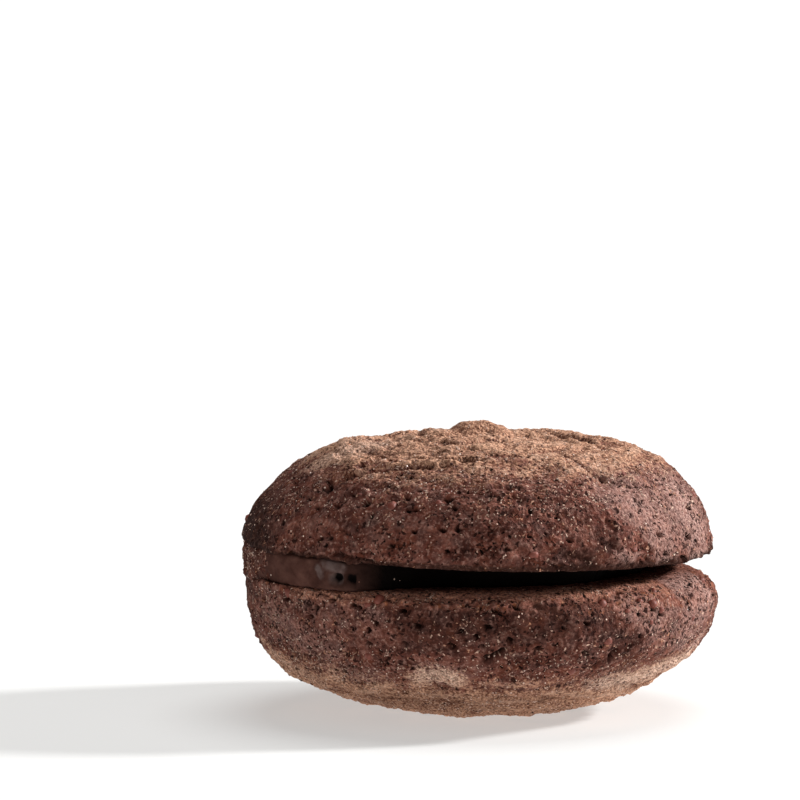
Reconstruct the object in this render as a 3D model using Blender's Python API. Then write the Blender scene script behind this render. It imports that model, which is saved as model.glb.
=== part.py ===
"""Soft chocolate amaretti: two domed biscuits joined base to base by a thin chocolate filling.

Metres, +Z up. The lower biscuit rests on a small flat spot at z = 0, with the origin under the middle.
Each biscuit is a ball mesh laid out over its own profile: a baked inner face, a rounded rim and a dome.
"""

import math
from collections import namedtuple

import bmesh
import bpy
import numpy as np
from mathutils import Vector, noise

# Biscuits: everything is measured from the axis of the pair and from the surface that it rests on.
DEPTH_SHARE = 0.965  # front to back against side to side
BALL_DIVISIONS = 5  # 5120 triangles to a biscuit
FACE_TURN = 0.25  # share of the ball's half turn that the inner face takes
RIM_TURN = 0.13  # and the rounded rim, with the dome on what is left
PROFILE_STEPS = 400

# The inner faces are a little hollow, and the filling is held between them.
DISH = 0.00042
DISH_POWER = 6
GAP = 0.0003

# Unevenness of the baked crust: a broad swell and a finer crumb.
SWELL_LENGTH = 0.0085
SWELL_HEIGHT = 0.00042
CRUMB_LENGTH = 0.0029
CRUMB_HEIGHT = 0.00020
LUMP_REACH = 0.6  # of a lump's width, to where it has fallen to about a third

# Filling: a disc that comes out flush on the left and stays back in the slit on the right.
FILLING_FLUSH = 0.0205
FILLING_BACK = 0.0150
FILLING_FLARE = 0.0006  # it stands out a little more in the middle of that stretch, as the rims do there
FLARE_HALF = math.radians(20)
FLUSH_MIDDLE = math.radians(186)
FLUSH_HALF = math.radians(46)
FLUSH_FADE = math.radians(26)
FILLING_SECTORS = 96
FILLING_EDGE_RINGS = 5
FILLING_EDGE = 0.0005
EDGE_FLATNESS = 0.5  # 1 is a round edge, less is flatter
AIR_HOLE_DEPTH = 0.0008

# A lump is a swelling of the crust: its azimuth in degrees, how far it is up the dome from the rim (0) to
# the middle (1), its width, its rise and how steep its edge is: 2 is a soft hill and 6 a flat-topped block.
# A dent has a negative rise.
Lump = namedtuple("Lump", "azimuth climb width rise edge", defaults=(2,))

# One biscuit: its inner face's height at the axis and slope along X, the height of its dome's end, its
# radius, the powers of the dome's round, and how far the rim is rounded in and up at its left and right.
Half = namedtuple(
    "Half",
    "name face lean end radius side_power top_power inset_left inset_right drop_left drop_right seed lumps",
)

UPPER = Half(
    name="biscuit_upper",
    face=0.01450,
    lean=-0.030,
    end=0.0242,
    radius=0.0205,
    side_power=3.0,
    top_power=2.0,
    inset_left=0.0005,
    inset_right=0.0015,
    drop_left=0.0004,
    drop_right=0.0011,
    seed=11.0,
    lumps=(
        Lump(azimuth=183, climb=0.0, width=0.0070, rise=0.0009),
        Lump(azimuth=182, climb=0.26, width=0.0085, rise=-0.0009),
        Lump(azimuth=182, climb=0.46, width=0.0080, rise=0.0007),
        Lump(azimuth=184, climb=0.56, width=0.0028, rise=0.0005),
        Lump(azimuth=183, climb=0.70, width=0.0060, rise=-0.0004),
        Lump(azimuth=183, climb=0.83, width=0.0033, rise=0.0010),
        Lump(azimuth=190, climb=0.965, width=0.0026, rise=0.0014, edge=6),
        Lump(azimuth=350, climb=0.943, width=0.0022, rise=0.0012, edge=6),
        Lump(azimuth=0, climb=0.80, width=0.0060, rise=-0.0004),
        Lump(azimuth=0, climb=0.60, width=0.0040, rise=0.0003),
        Lump(azimuth=0, climb=0.50, width=0.0090, rise=0.0004),
        Lump(azimuth=0, climb=0.19, width=0.0050, rise=-0.0008),
        Lump(azimuth=212, climb=0.86, width=0.0026, rise=0.0004),
        Lump(azimuth=318, climb=0.30, width=0.0019, rise=0.0005),
        Lump(azimuth=309, climb=0.33, width=0.0012, rise=-0.0006),
        Lump(azimuth=285, climb=0.40, width=0.0040, rise=-0.0003),
        Lump(azimuth=350, climb=0.20, width=0.0036, rise=0.0003),
        Lump(azimuth=60, climb=0.45, width=0.0035, rise=0.0005),
        Lump(azimuth=118, climb=0.28, width=0.0026, rise=-0.0004),
        Lump(azimuth=150, climb=0.70, width=0.0030, rise=0.0004),
    ),
)

LOWER = Half(
    name="biscuit_lower",
    face=0.01262,
    lean=0.014,
    end=-0.0002,
    radius=0.0207,
    side_power=2.1,
    top_power=2.0,
    inset_left=0.0006,
    inset_right=0.0052,
    drop_left=0.0005,
    drop_right=0.0030,
    seed=47.0,
    lumps=(
        Lump(azimuth=192, climb=0.35, width=0.0130, rise=0.0010),
        Lump(azimuth=184, climb=0.0, width=0.0060, rise=-0.0005),
        Lump(azimuth=293, climb=0.14, width=0.0036, rise=0.0005),
        Lump(azimuth=312, climb=0.24, width=0.0016, rise=-0.0005),
        Lump(azimuth=254, climb=0.20, width=0.0030, rise=-0.0003),
        Lump(azimuth=232, climb=0.34, width=0.0034, rise=0.0004),
        Lump(azimuth=258, climb=0.60, width=0.0030, rise=0.0004),
        Lump(azimuth=330, climb=0.40, width=0.0030, rise=0.0003),
        Lump(azimuth=40, climb=0.22, width=0.0032, rise=0.0005),
        Lump(azimuth=97, climb=0.38, width=0.0028, rise=-0.0004),
        Lump(azimuth=140, climb=0.25, width=0.0034, rise=0.0004),
    ),
)

# A bubble open in the filling's edge: its azimuth in degrees, place up the thickness and width.
AirHole = namedtuple("AirHole", "azimuth lift width")
AIR_HOLES = (
    AirHole(azimuth=226, lift=0.42, width=0.00085),
    AirHole(azimuth=231.5, lift=0.36, width=0.00062),
)

CRUST_COLOUR = (0.100, 0.045, 0.032, 1.0)
FILLING_COLOUR = (0.058, 0.030, 0.023, 1.0)


def clear_scene():
    for thing in list(bpy.data.objects):
        bpy.data.objects.remove(thing, do_unlink=True)


def material(name, colour, roughness):
    made = bpy.data.materials.new(name)
    made.use_nodes = True
    shader = made.node_tree.nodes["Principled BSDF"]
    shader.inputs["Base Color"].default_value = colour
    shader.inputs["Roughness"].default_value = roughness
    shader.inputs["Metallic"].default_value = 0.0
    made.diffuse_color = colour
    return made


def mix(low, high, share):
    return low + (high - low) * share


def face_height(half, x, y):
    """Height of a biscuit's inner face over (x, y): a slightly leaning plane, hollow inside its rim."""
    reach = min(math.hypot(x, y / DEPTH_SHARE) / (half.radius - half.inset_right), 1.0)
    away = 1.0 if half.end > half.face else -1.0
    return half.face + half.lean * x + away * DISH * (1.0 - reach**DISH_POWER)


def dome_turns(half):
    """Turns of the dome's round, from the rim to the middle, at even steps of length along it."""
    turn = np.linspace(0.0, math.pi / 2, PROFILE_STEPS)
    out = half.radius * np.cos(turn).clip(0.0) ** (2 / half.side_power)
    up = abs(half.end - half.face) * np.sin(turn) ** (2 / half.top_power)
    length = np.concatenate([[0.0], np.cumsum(np.hypot(np.diff(out), np.diff(up)))])
    return length / length[-1], turn


def profile_point(half, azimuth, share, dome):
    """(radius, climb) at a share of the way from the inner face's middle to the dome's. Climb runs from 0
    at the inner face to 1 at the end of the dome."""
    right = (1.0 + math.cos(azimuth)) / 2
    inset = mix(half.inset_left, half.inset_right, right)
    drop = mix(half.drop_left, half.drop_right, right) / abs(half.end - half.face)
    if share < FACE_TURN:
        return (half.radius - inset) * share / FACE_TURN, 0.0
    if share < FACE_TURN + RIM_TURN:
        turn = math.pi / 2 * (share - FACE_TURN) / RIM_TURN
        return half.radius - inset * (1.0 - math.sin(turn)), drop * (1.0 - math.cos(turn))
    turn = np.interp((share - FACE_TURN - RIM_TURN) / (1.0 - FACE_TURN - RIM_TURN), *dome)
    radius = half.radius * max(math.cos(turn), 0.0) ** (2 / half.side_power)
    return radius, drop + (1.0 - drop) * math.sin(turn) ** (2 / half.top_power)


def surface_point(half, azimuth, share, dome):
    radius, climb = profile_point(half, azimuth, share, dome)
    x = radius * math.cos(azimuth)
    y = radius * math.sin(azimuth) * DEPTH_SHARE
    return Vector((x, y, mix(face_height(half, x, y), half.end, climb)))


def crust_rise(half, place, centres):
    """How far the crust stands out at a place: the swell, the crumb and the named lumps."""
    offset = Vector((half.seed, -half.seed, half.seed / 3))
    rise = SWELL_HEIGHT * noise.noise(place / SWELL_LENGTH + offset)
    rise += CRUMB_HEIGHT * noise.noise(place / CRUMB_LENGTH - offset)
    for lump, centre in centres:
        rise += lump.rise * math.exp(-(((place - centre).length / (lump.width * LUMP_REACH)) ** lump.edge))
    return rise


def smooth_step(value):
    value = min(max(value, 0.0), 1.0)
    return value * value * (3.0 - 2.0 * value)


def biscuit(half, crust):
    """A ball laid out over the biscuit's profile, then roughened along its own normals."""
    dome = dome_turns(half)
    upright = 1.0 if half.end > half.face else -1.0
    outer = FACE_TURN + RIM_TURN
    centres = []
    for lump in half.lumps:
        share = mix(outer, 1.0, lump.climb)
        centres.append((lump, surface_point(half, math.radians(lump.azimuth), share, dome)))

    ball = bmesh.new()
    bmesh.ops.create_icosphere(ball, subdivisions=BALL_DIVISIONS, radius=1.0)
    shares = {}
    for vert in ball.verts:
        share = math.acos(max(-1.0, min(1.0, -vert.co.z * upright))) / math.pi
        azimuth = math.atan2(vert.co.y, vert.co.x)
        shares[vert.index] = share
        vert.co = surface_point(half, azimuth, share, dome)
    ball.normal_update()
    for vert in ball.verts:
        weight = smooth_step((shares[vert.index] - FACE_TURN) / RIM_TURN)
        vert.co = vert.co + vert.normal * (weight * crust_rise(half, vert.co, centres))
    for vert in ball.verts:
        vert.co.z = max(vert.co.z, 0.0)  # the flat spot that the lower biscuit rests on
    return add_object(half.name, ball, crust)


def add_object(name, shape, finish):
    mesh = bpy.data.meshes.new(name)
    shape.to_mesh(mesh)
    shape.free()
    mesh.materials.append(finish)
    mesh.shade_smooth()
    thing = bpy.data.objects.new(name, mesh)
    bpy.context.scene.collection.objects.link(thing)
    return thing


def filling_radius(azimuth):
    """Radius of the filling's edge: flush with the biscuits over one stretch and set back elsewhere."""
    off = abs((azimuth - FLUSH_MIDDLE + math.pi) % (2 * math.pi) - math.pi)
    flush = 1.0 - smooth_step((off - FLUSH_HALF) / FLUSH_FADE)
    flare = FILLING_FLARE * math.exp(-((off / FLARE_HALF) ** 2))
    ripple = 0.0003 * math.sin(5 * azimuth + 1.0) + 0.0002 * math.sin(11 * azimuth)
    return mix(FILLING_BACK + 2 * ripple, FILLING_FLUSH + flare + ripple / 2, flush)


def filling_point(azimuth, radius, lift):
    """A point of the filling, with lift from 0 on its under side to 1 on top."""
    x = radius * math.cos(azimuth)
    y = radius * math.sin(azimuth) * DEPTH_SHARE
    low = face_height(LOWER, x, y) + GAP
    high = face_height(UPPER, x, y) - GAP
    return Vector((x, y, mix(low, high, lift)))


def filling(paste):
    """A disc with a rounded edge: rings from the under side's middle, round the edge, to the top's."""
    rings = [(0.55, 0.0, 0.0)]
    for step in range(FILLING_EDGE_RINGS + 1):
        turn = math.pi * step / FILLING_EDGE_RINGS
        rings.append((1.0, max(math.sin(turn), 0.0) ** EDGE_FLATNESS, (1.0 - math.cos(turn)) / 2))
    rings.append((0.55, 0.0, 1.0))

    disc = bmesh.new()
    loops = []
    for share, bulge, lift in rings:
        loop = []
        for sector in range(FILLING_SECTORS):
            azimuth = 2 * math.pi * sector / FILLING_SECTORS
            edge = (filling_radius(azimuth) - FILLING_EDGE) * share + FILLING_EDGE * bulge
            loop.append(disc.verts.new(filling_point(azimuth, edge, lift)))
        loops.append(loop)
    under = disc.verts.new(filling_point(0.0, 0.0, 0.0))
    top = disc.verts.new(filling_point(0.0, 0.0, 1.0))
    for sector in range(FILLING_SECTORS):
        after = (sector + 1) % FILLING_SECTORS
        disc.faces.new((under, loops[0][after], loops[0][sector]))
        disc.faces.new((top, loops[-1][sector], loops[-1][after]))
        for lower, upper in zip(loops, loops[1:]):
            disc.faces.new((lower[sector], lower[after], upper[after], upper[sector]))
    bmesh.ops.triangulate(disc, faces=disc.faces[:])
    made = add_object("filling", disc, paste)
    for number, hole in enumerate(AIR_HOLES):
        cut_air_hole(made, hole, number)
    return made


def cut_air_hole(body, hole, number):
    """Opens one bubble in the edge of the filling with a round cutter."""
    azimuth = math.radians(hole.azimuth)
    bubble = bmesh.new()
    bmesh.ops.create_icosphere(bubble, subdivisions=2, radius=hole.width / 2)
    bmesh.ops.scale(bubble, vec=(1.0, AIR_HOLE_DEPTH / hole.width * 2, 1.0), verts=bubble.verts)
    mesh = bpy.data.meshes.new(f"air_hole_{number}")
    bubble.to_mesh(mesh)
    bubble.free()
    cutter = bpy.data.objects.new(f"air_hole_{number}", mesh)
    cutter.location = filling_point(azimuth, filling_radius(azimuth), hole.lift)
    cutter.rotation_euler.z = azimuth + math.pi / 2
    cutter.hide_render = True
    cutter.display_type = "WIRE"
    bpy.context.scene.collection.objects.link(cutter)
    cut = body.modifiers.new(f"air_hole_{number}", "BOOLEAN")
    cut.operation = "DIFFERENCE"
    cut.solver = "EXACT"
    cut.object = cutter


clear_scene()
crust_material = material("crust", CRUST_COLOUR, 0.85)
filling_material = material("filling", FILLING_COLOUR, 0.55)
biscuit(LOWER, crust_material)
biscuit(UPPER, crust_material)
filling(filling_material)
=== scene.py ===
import math
import random
import time

import bmesh
import bpy
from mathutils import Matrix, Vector
from mathutils.bvhtree import BVHTree


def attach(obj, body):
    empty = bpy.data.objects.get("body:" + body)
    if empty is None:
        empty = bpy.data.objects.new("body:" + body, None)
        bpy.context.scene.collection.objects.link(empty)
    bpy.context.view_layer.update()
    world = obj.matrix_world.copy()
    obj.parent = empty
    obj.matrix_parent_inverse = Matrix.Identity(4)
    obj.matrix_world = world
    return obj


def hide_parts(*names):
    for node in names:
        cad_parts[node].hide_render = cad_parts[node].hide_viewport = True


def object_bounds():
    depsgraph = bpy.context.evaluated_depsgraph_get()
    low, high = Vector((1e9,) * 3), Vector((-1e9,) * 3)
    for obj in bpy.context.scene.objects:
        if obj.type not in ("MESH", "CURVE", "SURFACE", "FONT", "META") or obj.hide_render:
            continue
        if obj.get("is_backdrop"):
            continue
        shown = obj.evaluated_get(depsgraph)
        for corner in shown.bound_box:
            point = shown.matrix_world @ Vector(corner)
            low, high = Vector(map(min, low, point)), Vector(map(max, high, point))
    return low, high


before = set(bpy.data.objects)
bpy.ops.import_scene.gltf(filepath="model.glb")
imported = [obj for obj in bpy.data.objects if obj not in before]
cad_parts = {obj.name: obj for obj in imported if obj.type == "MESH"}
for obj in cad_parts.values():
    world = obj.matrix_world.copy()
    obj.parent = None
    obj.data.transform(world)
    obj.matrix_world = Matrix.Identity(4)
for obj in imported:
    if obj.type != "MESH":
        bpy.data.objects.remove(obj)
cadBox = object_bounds()
started = time.time()

mm = 0.001  # sizes below are in millimetres where they say so, and Blender's unit is the metre

# the picture: where the camera stands, and how its 800 x 800 pixels lie on the cookie
picture = {
    "elevation": 5.0,  # degrees that the camera looks down
    "distance": 0.42,
    "width": 0.0707,  # of the picture, at the cookie
    "pixels": 800,
    "pixelSize": 0.0000884,
    "axisColumn": 480.5,  # the cookie's middle
    "floorRow": 714.5,  # its lowest point
    "floorHeight": -0.0006,
    "sensor": 36.0,
}

lookDown = math.radians(picture["elevation"])
ahead = Vector((0.0, math.cos(lookDown), -math.sin(lookDown)))
upward = Vector((0.0, math.sin(lookDown), math.cos(lookDown)))
pictureMiddle = picture["pixels"] / 2
aim = Vector((-(picture["axisColumn"] - pictureMiddle) * picture["pixelSize"], 0.0, 0.0))
aim += upward * ((picture["floorRow"] - pictureMiddle) * picture["pixelSize"] + picture["floorHeight"])
eye = aim - ahead * picture["distance"]


def report(stage):
    print(f"[{time.time() - started:5.1f} s] {stage}")


def hexColour(text):
    # sRGB hex to the linear colour that nodes take
    channels = [int(text[at:at + 2], 16) / 255 for at in (1, 3, 5)]
    linear = [c / 12.92 if c <= 0.04045 else ((c + 0.055) / 1.055) ** 2.4 for c in channels]
    return (*linear, 1.0)


def adderFor(tree):
    def add(kind, inputs=(), **settings):
        # one node with its settings, and its inputs as values or as the nodes and sockets that feed them
        made = tree.nodes.new(kind)
        for name, value in settings.items():
            setattr(made, name, value)
        for key, value in inputs.items() if isinstance(inputs, dict) else enumerate(inputs):
            if isinstance(value, bpy.types.Node):
                value = value.outputs[0]
            if isinstance(value, bpy.types.NodeSocket):
                tree.links.new(value, made.inputs[key])
            else:
                made.inputs[key].default_value = value
        return made

    return add


def newTree(name, sizes, objects=()):
    # a Geometry Nodes tree with one named input for each size and each object it reads
    tree = bpy.data.node_groups.new(name, "GeometryNodeTree")
    tree.interface.new_socket("Geometry", in_out="INPUT", socket_type="NodeSocketGeometry")
    for key in objects:
        tree.interface.new_socket(key, in_out="INPUT", socket_type="NodeSocketObject")
    for key, value in sizes.items():
        kind = "NodeSocketInt" if isinstance(value, int) else "NodeSocketFloat"
        tree.interface.new_socket(key, in_out="INPUT", socket_type=kind).default_value = value
    tree.interface.new_socket("Geometry", in_out="OUTPUT", socket_type="NodeSocketGeometry")
    add = adderFor(tree)
    return tree, add, add("NodeGroupInput").outputs


def endTree(tree, add, geometry, finish):
    # real geometry in its own finish, as the export needs
    whole = add("GeometryNodeRealizeInstances", (geometry,))
    whole = add("GeometryNodeSetMaterial", {"Geometry": whole, "Material": finish})
    add("NodeGroupOutput", (whole,))
    return tree


def useTree(piece, tree, values):
    modifier = piece.modifiers.new(tree.name, "NODES")
    modifier.node_group = tree
    for item in tree.interface.items_tree:
        if item.in_out == "INPUT" and item.name in values:
            modifier[item.identifier] = values[item.name]


def newObject(name, mesh):
    made = bpy.data.objects.new(name, mesh)
    bpy.context.scene.collection.objects.link(made)
    return made


def applied(piece):
    # what the modifiers make of a piece, as a plain mesh in its place
    graph = bpy.context.evaluated_depsgraph_get()
    mesh = bpy.data.meshes.new_from_object(
        piece.evaluated_get(graph), preserve_all_data_layers=True, depsgraph=graph
    )
    mesh.name = piece.name
    piece.modifiers.clear()
    piece.data = mesh


def mergedCopy(nodeName, pieceName):
    # a CAD node's mesh is loose triangles, so its copy is merged first
    shape = bmesh.new()
    shape.from_mesh(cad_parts[nodeName].data)
    bmesh.ops.remove_doubles(shape, verts=shape.verts, dist=0.001 * mm)
    mesh = bpy.data.meshes.new(pieceName)
    shape.to_mesh(mesh)
    shape.free()
    mesh.materials.clear()
    mesh.shade_smooth()
    return newObject(pieceName, mesh)


solids = {}
for nodeName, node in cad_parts.items():
    corners = [vertex.co.copy() for vertex in node.data.vertices]
    solids[nodeName] = BVHTree.FromPolygons(corners, [tuple(face.vertices) for face in node.data.polygons])


def onSurface(pixel):
    # the point of the cookie that a pixel of the photo shows, and which way its surface faces
    across = (pixel[0] - pictureMiddle) / picture["pixels"] * picture["width"]
    up = (pictureMiddle - pixel[1]) / picture["pixels"] * picture["width"]
    ray = (ahead * picture["distance"] + Vector((across, 0.0, 0.0)) + upward * up).normalized()
    hits = [tree.ray_cast(eye, ray) for tree in solids.values()]
    hits = [hit for hit in hits if hit[0] is not None]
    if not hits:
        raise ValueError(f"pixel {pixel} misses the cookie")
    nearest = min(hits, key=lambda hit: hit[3])
    return nearest[0], nearest[1]


def along(path, width, **values):
    # a trail over the cookie: pixels along it, its width in millimetres and what it carries
    return {"path": path, "width": width, **values}


# cracks, creases, ridges and holes that the photo shows, and how far each rises in millimetres
marks = [
    along([(448, 443), (462, 443), (478, 441), (494, 439)], 0.9, rise=-0.75),
    along([(450, 449), (470, 448), (498, 446)], 0.8, rise=0.25),
    along([(452, 460), (468, 459), (482, 459)], 0.7, rise=-0.5),
    along([(552, 433), (566, 436), (574, 439)], 0.7, rise=-0.5),
    along([(362, 465), (370, 463), (378, 459)], 0.8, rise=-0.9),
    along([(345, 471), (352, 472), (359, 468)], 0.8, rise=-0.9),
    along([(337, 475), (360, 472), (372, 467), (390, 465), (420, 463), (454, 463)], 0.6, rise=0.25),
    along([(480, 487), (502, 485), (524, 487)], 0.5, rise=0.25),
    along([(578, 437), (586, 440), (594, 443)], 0.7, rise=-0.45),
    along([(568, 441), (580, 445), (592, 448)], 0.6, rise=0.25),
    along([(558, 452), (572, 459), (588, 470), (601, 479)], 0.4, rise=-0.25),
    along([(601, 479), (603, 482)], 0.5, rise=-0.5),
    along([(329, 483), (328, 490)], 0.5, rise=-0.9),
    along([(311, 485), (311, 491)], 0.3, rise=-0.4),
    along([(356, 522), (356, 530)], 0.25, rise=-0.4),
    along([(346, 496), (354, 489), (366, 490), (369, 497)], 0.4, rise=0.3),
    along([(613, 522), (617, 530), (617, 539), (621, 549)], 0.4, rise=0.35),
    along([(345, 479), (372, 472), (395, 469), (430, 467)], 0.45, rise=-0.4),
    along([(250, 542), (270, 548), (286, 552)], 0.55, rise=0.3),
    along([(255, 583), (266, 585), (282, 588)], 0.7, rise=0.35),
    along([(700, 554), (706, 548)], 0.4, rise=0.35),
    along([(684, 559), (692, 557)], 0.35, rise=0.25),
    along([(604, 553), (616, 557), (628, 557), (637, 553)], 0.8, rise=0.3),
    along([(567, 557), (578, 555), (589, 559)], 0.8, rise=-0.4),
    along([(332, 558), (350, 561), (370, 567)], 0.4, rise=0.35),
    along([(334, 553), (356, 557), (372, 562)], 0.35, rise=-0.35),
    along([(486, 660), (494, 656), (503, 651)], 0.45, rise=-0.7),
    along([(611, 660), (612, 654), (616, 652)], 0.45, rise=-0.75),
    along([(594, 667), (598, 665)], 0.6, rise=-0.85),
    along([(345, 654), (350, 657)], 0.5, rise=-0.6),
    along([(340, 668), (356, 669)], 0.4, rise=-0.35),
    along([(508, 671), (520, 665), (533, 660)], 0.35, rise=0.2),
    along([(627, 650), (636, 643), (647, 630)], 0.45, rise=0.3),
    along([(578, 600), (592, 597), (604, 599)], 0.45, rise=-0.35),
    along([(612, 596), (626, 597), (634, 604)], 0.4, rise=-0.35),
    along([(290, 655), (320, 658)], 0.5, rise=-0.35),
]

# deep pores that the photo shows: pixel and width in millimetres
deepPores = [
    ((322, 655), 0.43), ((355, 656), 0.43), ((367, 644), 0.36), ((354, 649), 0.32), ((356, 668), 0.36),
    ((315, 607), 0.29), ((352, 605), 0.40), ((358, 607), 0.29), ((367, 630), 0.36), ((374, 623), 0.32),
    ((381, 664), 0.32), ((313, 652), 0.32),
    ((406, 497), 0.36), ((447, 499), 0.40), ((442, 529), 0.36), ((457, 529), 0.36), ((414, 509), 0.29),
    ((446, 551), 0.29), ((413, 531), 0.29), ((454, 507), 0.29), ((389, 545), 0.36), ((507, 549), 0.32),
    ((450, 597), 0.36), ((515, 606), 0.36), ((494, 610), 0.36), ((486, 627), 0.40), ((476, 637), 0.36),
    ((451, 646), 0.40), ((416, 626), 0.40), ((404, 644), 0.32), ((461, 631), 0.36), ((537, 649), 0.36),
    ((510, 640), 0.36), ((408, 595), 0.32), ((482, 647), 0.29), ((402, 611), 0.32),
    ((328, 537), 0.36), ((331, 599), 0.36), ((314, 608), 0.29), ((263, 599), 0.36), ((284, 598), 0.40),
    ((308, 616), 0.32),
    ((366, 502), 0.47), ((316, 507), 0.32), ((336, 506), 0.32), ((353, 494), 0.36), ((307, 499), 0.29),
    ((319, 538), 0.29), ((292, 553), 0.32),
    ((586, 623), 0.29), ((623, 655), 0.32), ((584, 653), 0.29), ((661, 614), 0.29), ((653, 608), 0.29),
    ((618, 592), 0.32),
    ((688, 507), 0.29), ((688, 536), 0.32), ((659, 534), 0.29), ((635, 550), 0.32), ((568, 540), 0.32),
    ((682, 557), 0.29), ((666, 554), 0.29), ((691, 590), 0.36), ((694, 582), 0.29), ((704, 585), 0.29),
    ((616, 592), 0.29),
]
for pixel, width in deepPores:
    marks.append(along([pixel, (pixel[0] + 2, pixel[1] + 1)], width, rise=-0.7))

# stretches of another tone, and how dusty, dark, pale, red or calm each is; the dark values are painted shade
# where shade falls, the pale ones on the right flank are partly a painted sheen, and the red ones are
# red-brown crust with painted light on the lower rim that the upper biscuit shades
patches = [
    along([(424, 677), (438, 674), (452, 678)], 2.0, dust=1.0, pale=0.85),
    along([(410, 622), (470, 632), (540, 636)], 6.0, dark=0.62, calm=0.35),
    along([(600, 684), (640, 677), (680, 661), (698, 641)], 2.2, dust=0.3, pale=1.0),
    along([(262, 640), (272, 652), (292, 668), (325, 686)], 1.5, dust=1.0, pale=0.3),
    along([(300, 606), (370, 620)], 4.0, pale=0.15),
    along([(545, 612), (558, 620), (570, 628)], 2.4, dark=0.7, calm=0.3),
    along([(500, 458), (514, 460)], 2.0, dust=-0.5, dark=0.4),
    along([(566, 555), (588, 558)], 1.5, dark=0.8),
    along([(480, 640), (500, 664), (540, 650)], 3.0, dust=-0.3, dark=0.3),
    along([(459, 425), (480, 424), (499, 427)], 3.0, dust=0.3, calm=1.0),
    along([(250, 515), (256, 545)], 6.5, dark=0.9, calm=0.3),
    along([(272, 615), (295, 636), (325, 650)], 4.0, pale=0.35),
    along([(330, 668), (370, 679)], 2.0, pale=0.3),
    along([(380, 700), (480, 704), (570, 700)], 4.0, dark=0.6),
    along([(632, 606), (668, 622)], 4.0, pale=0.45),
    along([(575, 612), (625, 640)], 5.5, dark=0.55, calm=0.4),
    along([(600, 536), (608, 547)], 1.2, dark=0.9, calm=0.3),
    along([(520, 505), (580, 530)], 7.0, dark=0.2),
    along([(676, 586), (698, 580), (710, 596)], 2.6, pale=1.0, calm=0.2),
    along([(322, 460), (348, 450), (378, 443)], 3.0, dust=0.5, pale=0.5),
    # the lower rim in the slit: red-brown crust, made lighter as painted light where the upper biscuit shades
    # it
    along([(300, 591), (420, 594), (520, 594), (600, 590)], 1.8, red=0.9),
    along([(616, 556), (632, 556)], 1.0, pale=0.6, calm=0.4),
    # the right flank: paler crust with a painted sheen of the light from the right
    along([(628, 500), (655, 508), (660, 530)], 5.5, pale=0.75, calm=0.1),
    along([(680, 495), (697, 530)], 5.0, pale=1.0, calm=0.2),
    along([(705, 600), (690, 632)], 5.5, pale=0.6, calm=0.2),
    along([(618, 586), (645, 582), (664, 590)], 1.8, red=0.7),
]
patchKeys = ("dust", "dark", "pale", "red", "calm")

# where sugar grains lie thickly, and how thickly
sprinklings = [
    along([(290, 468), (318, 452), (345, 445)], 3.5, sugar=1.0),
    along([(345, 482), (372, 490)], 3.0, sugar=0.6),
    along([(482, 480), (522, 480), (560, 470)], 3.0, sugar=0.8),
    along([(650, 480), (690, 505)], 4.5, sugar=0.4),
    along([(486, 504), (500, 503)], 1.4, sugar=1.0),
    along([(560, 500), (600, 470), (640, 470)], 4.5, sugar=0.5),
    along([(262, 560), (285, 572)], 1.8, sugar=0.4),
    along([(270, 596), (292, 600), (330, 594)], 2.2, sugar=0.7),
    along([(262, 612), (285, 640), (318, 658), (345, 672)], 3.6, sugar=1.0),
    along([(290, 615), (340, 622), (380, 612)], 3.0, sugar=0.5),
    along([(320, 594), (420, 597), (560, 595)], 1.4, sugar=0.9),
    along([(575, 592), (620, 588), (668, 600)], 2.6, sugar=0.9),
    along([(470, 612), (480, 600)], 2.0, sugar=0.5),
    along([(600, 680), (650, 668), (690, 645)], 2.6, sugar=1.0),
]


pointsAPixel = 1.5
fray = {"marks": 0.4, "patches": 2.0, "sprinklings": 2.0, "holes": 0.12}  # mm that their edges wander


def trailObject(name, trails, keys):
    # points close together along each trail, on the surface, that carry the trail's width and values
    places = []
    values = {key: [] for key in ("width", *keys)}
    for trail in trails:
        for start, end in zip(trail["path"], trail["path"][1:]):
            steps = max(2, int(math.dist(start, end) * pointsAPixel))
            for step in range(steps + 1):
                share = step / steps
                pixel = [a + (b - a) * share for a, b in zip(start, end)]
                places.append(onSurface(pixel)[0])
                for key in values:
                    values[key].append(trail.get(key, 0.0))
    mesh = bpy.data.meshes.new(name)
    mesh.from_pydata(places, [], [])
    for key, numbers in values.items():
        mesh.attributes.new(key, "FLOAT", "POINT").data.foreach_set("value", numbers)
    return newObject(name, mesh)


def wandered(add, place, scale, detail, reach):
    # a place in millimetres, moved about by up to half the reach
    noise = add("ShaderNodeTexNoise", {"Vector": place, "Scale": scale, "Detail": detail})
    away = add("ShaderNodeVectorMath", (noise.outputs[1], (0.5, 0.5, 0.5)), operation="SUBTRACT")
    away = add("ShaderNodeVectorMath", {0: away, "Scale": reach}, operation="SCALE")
    return add("ShaderNodeVectorMath", (place, away), operation="ADD")


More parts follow.
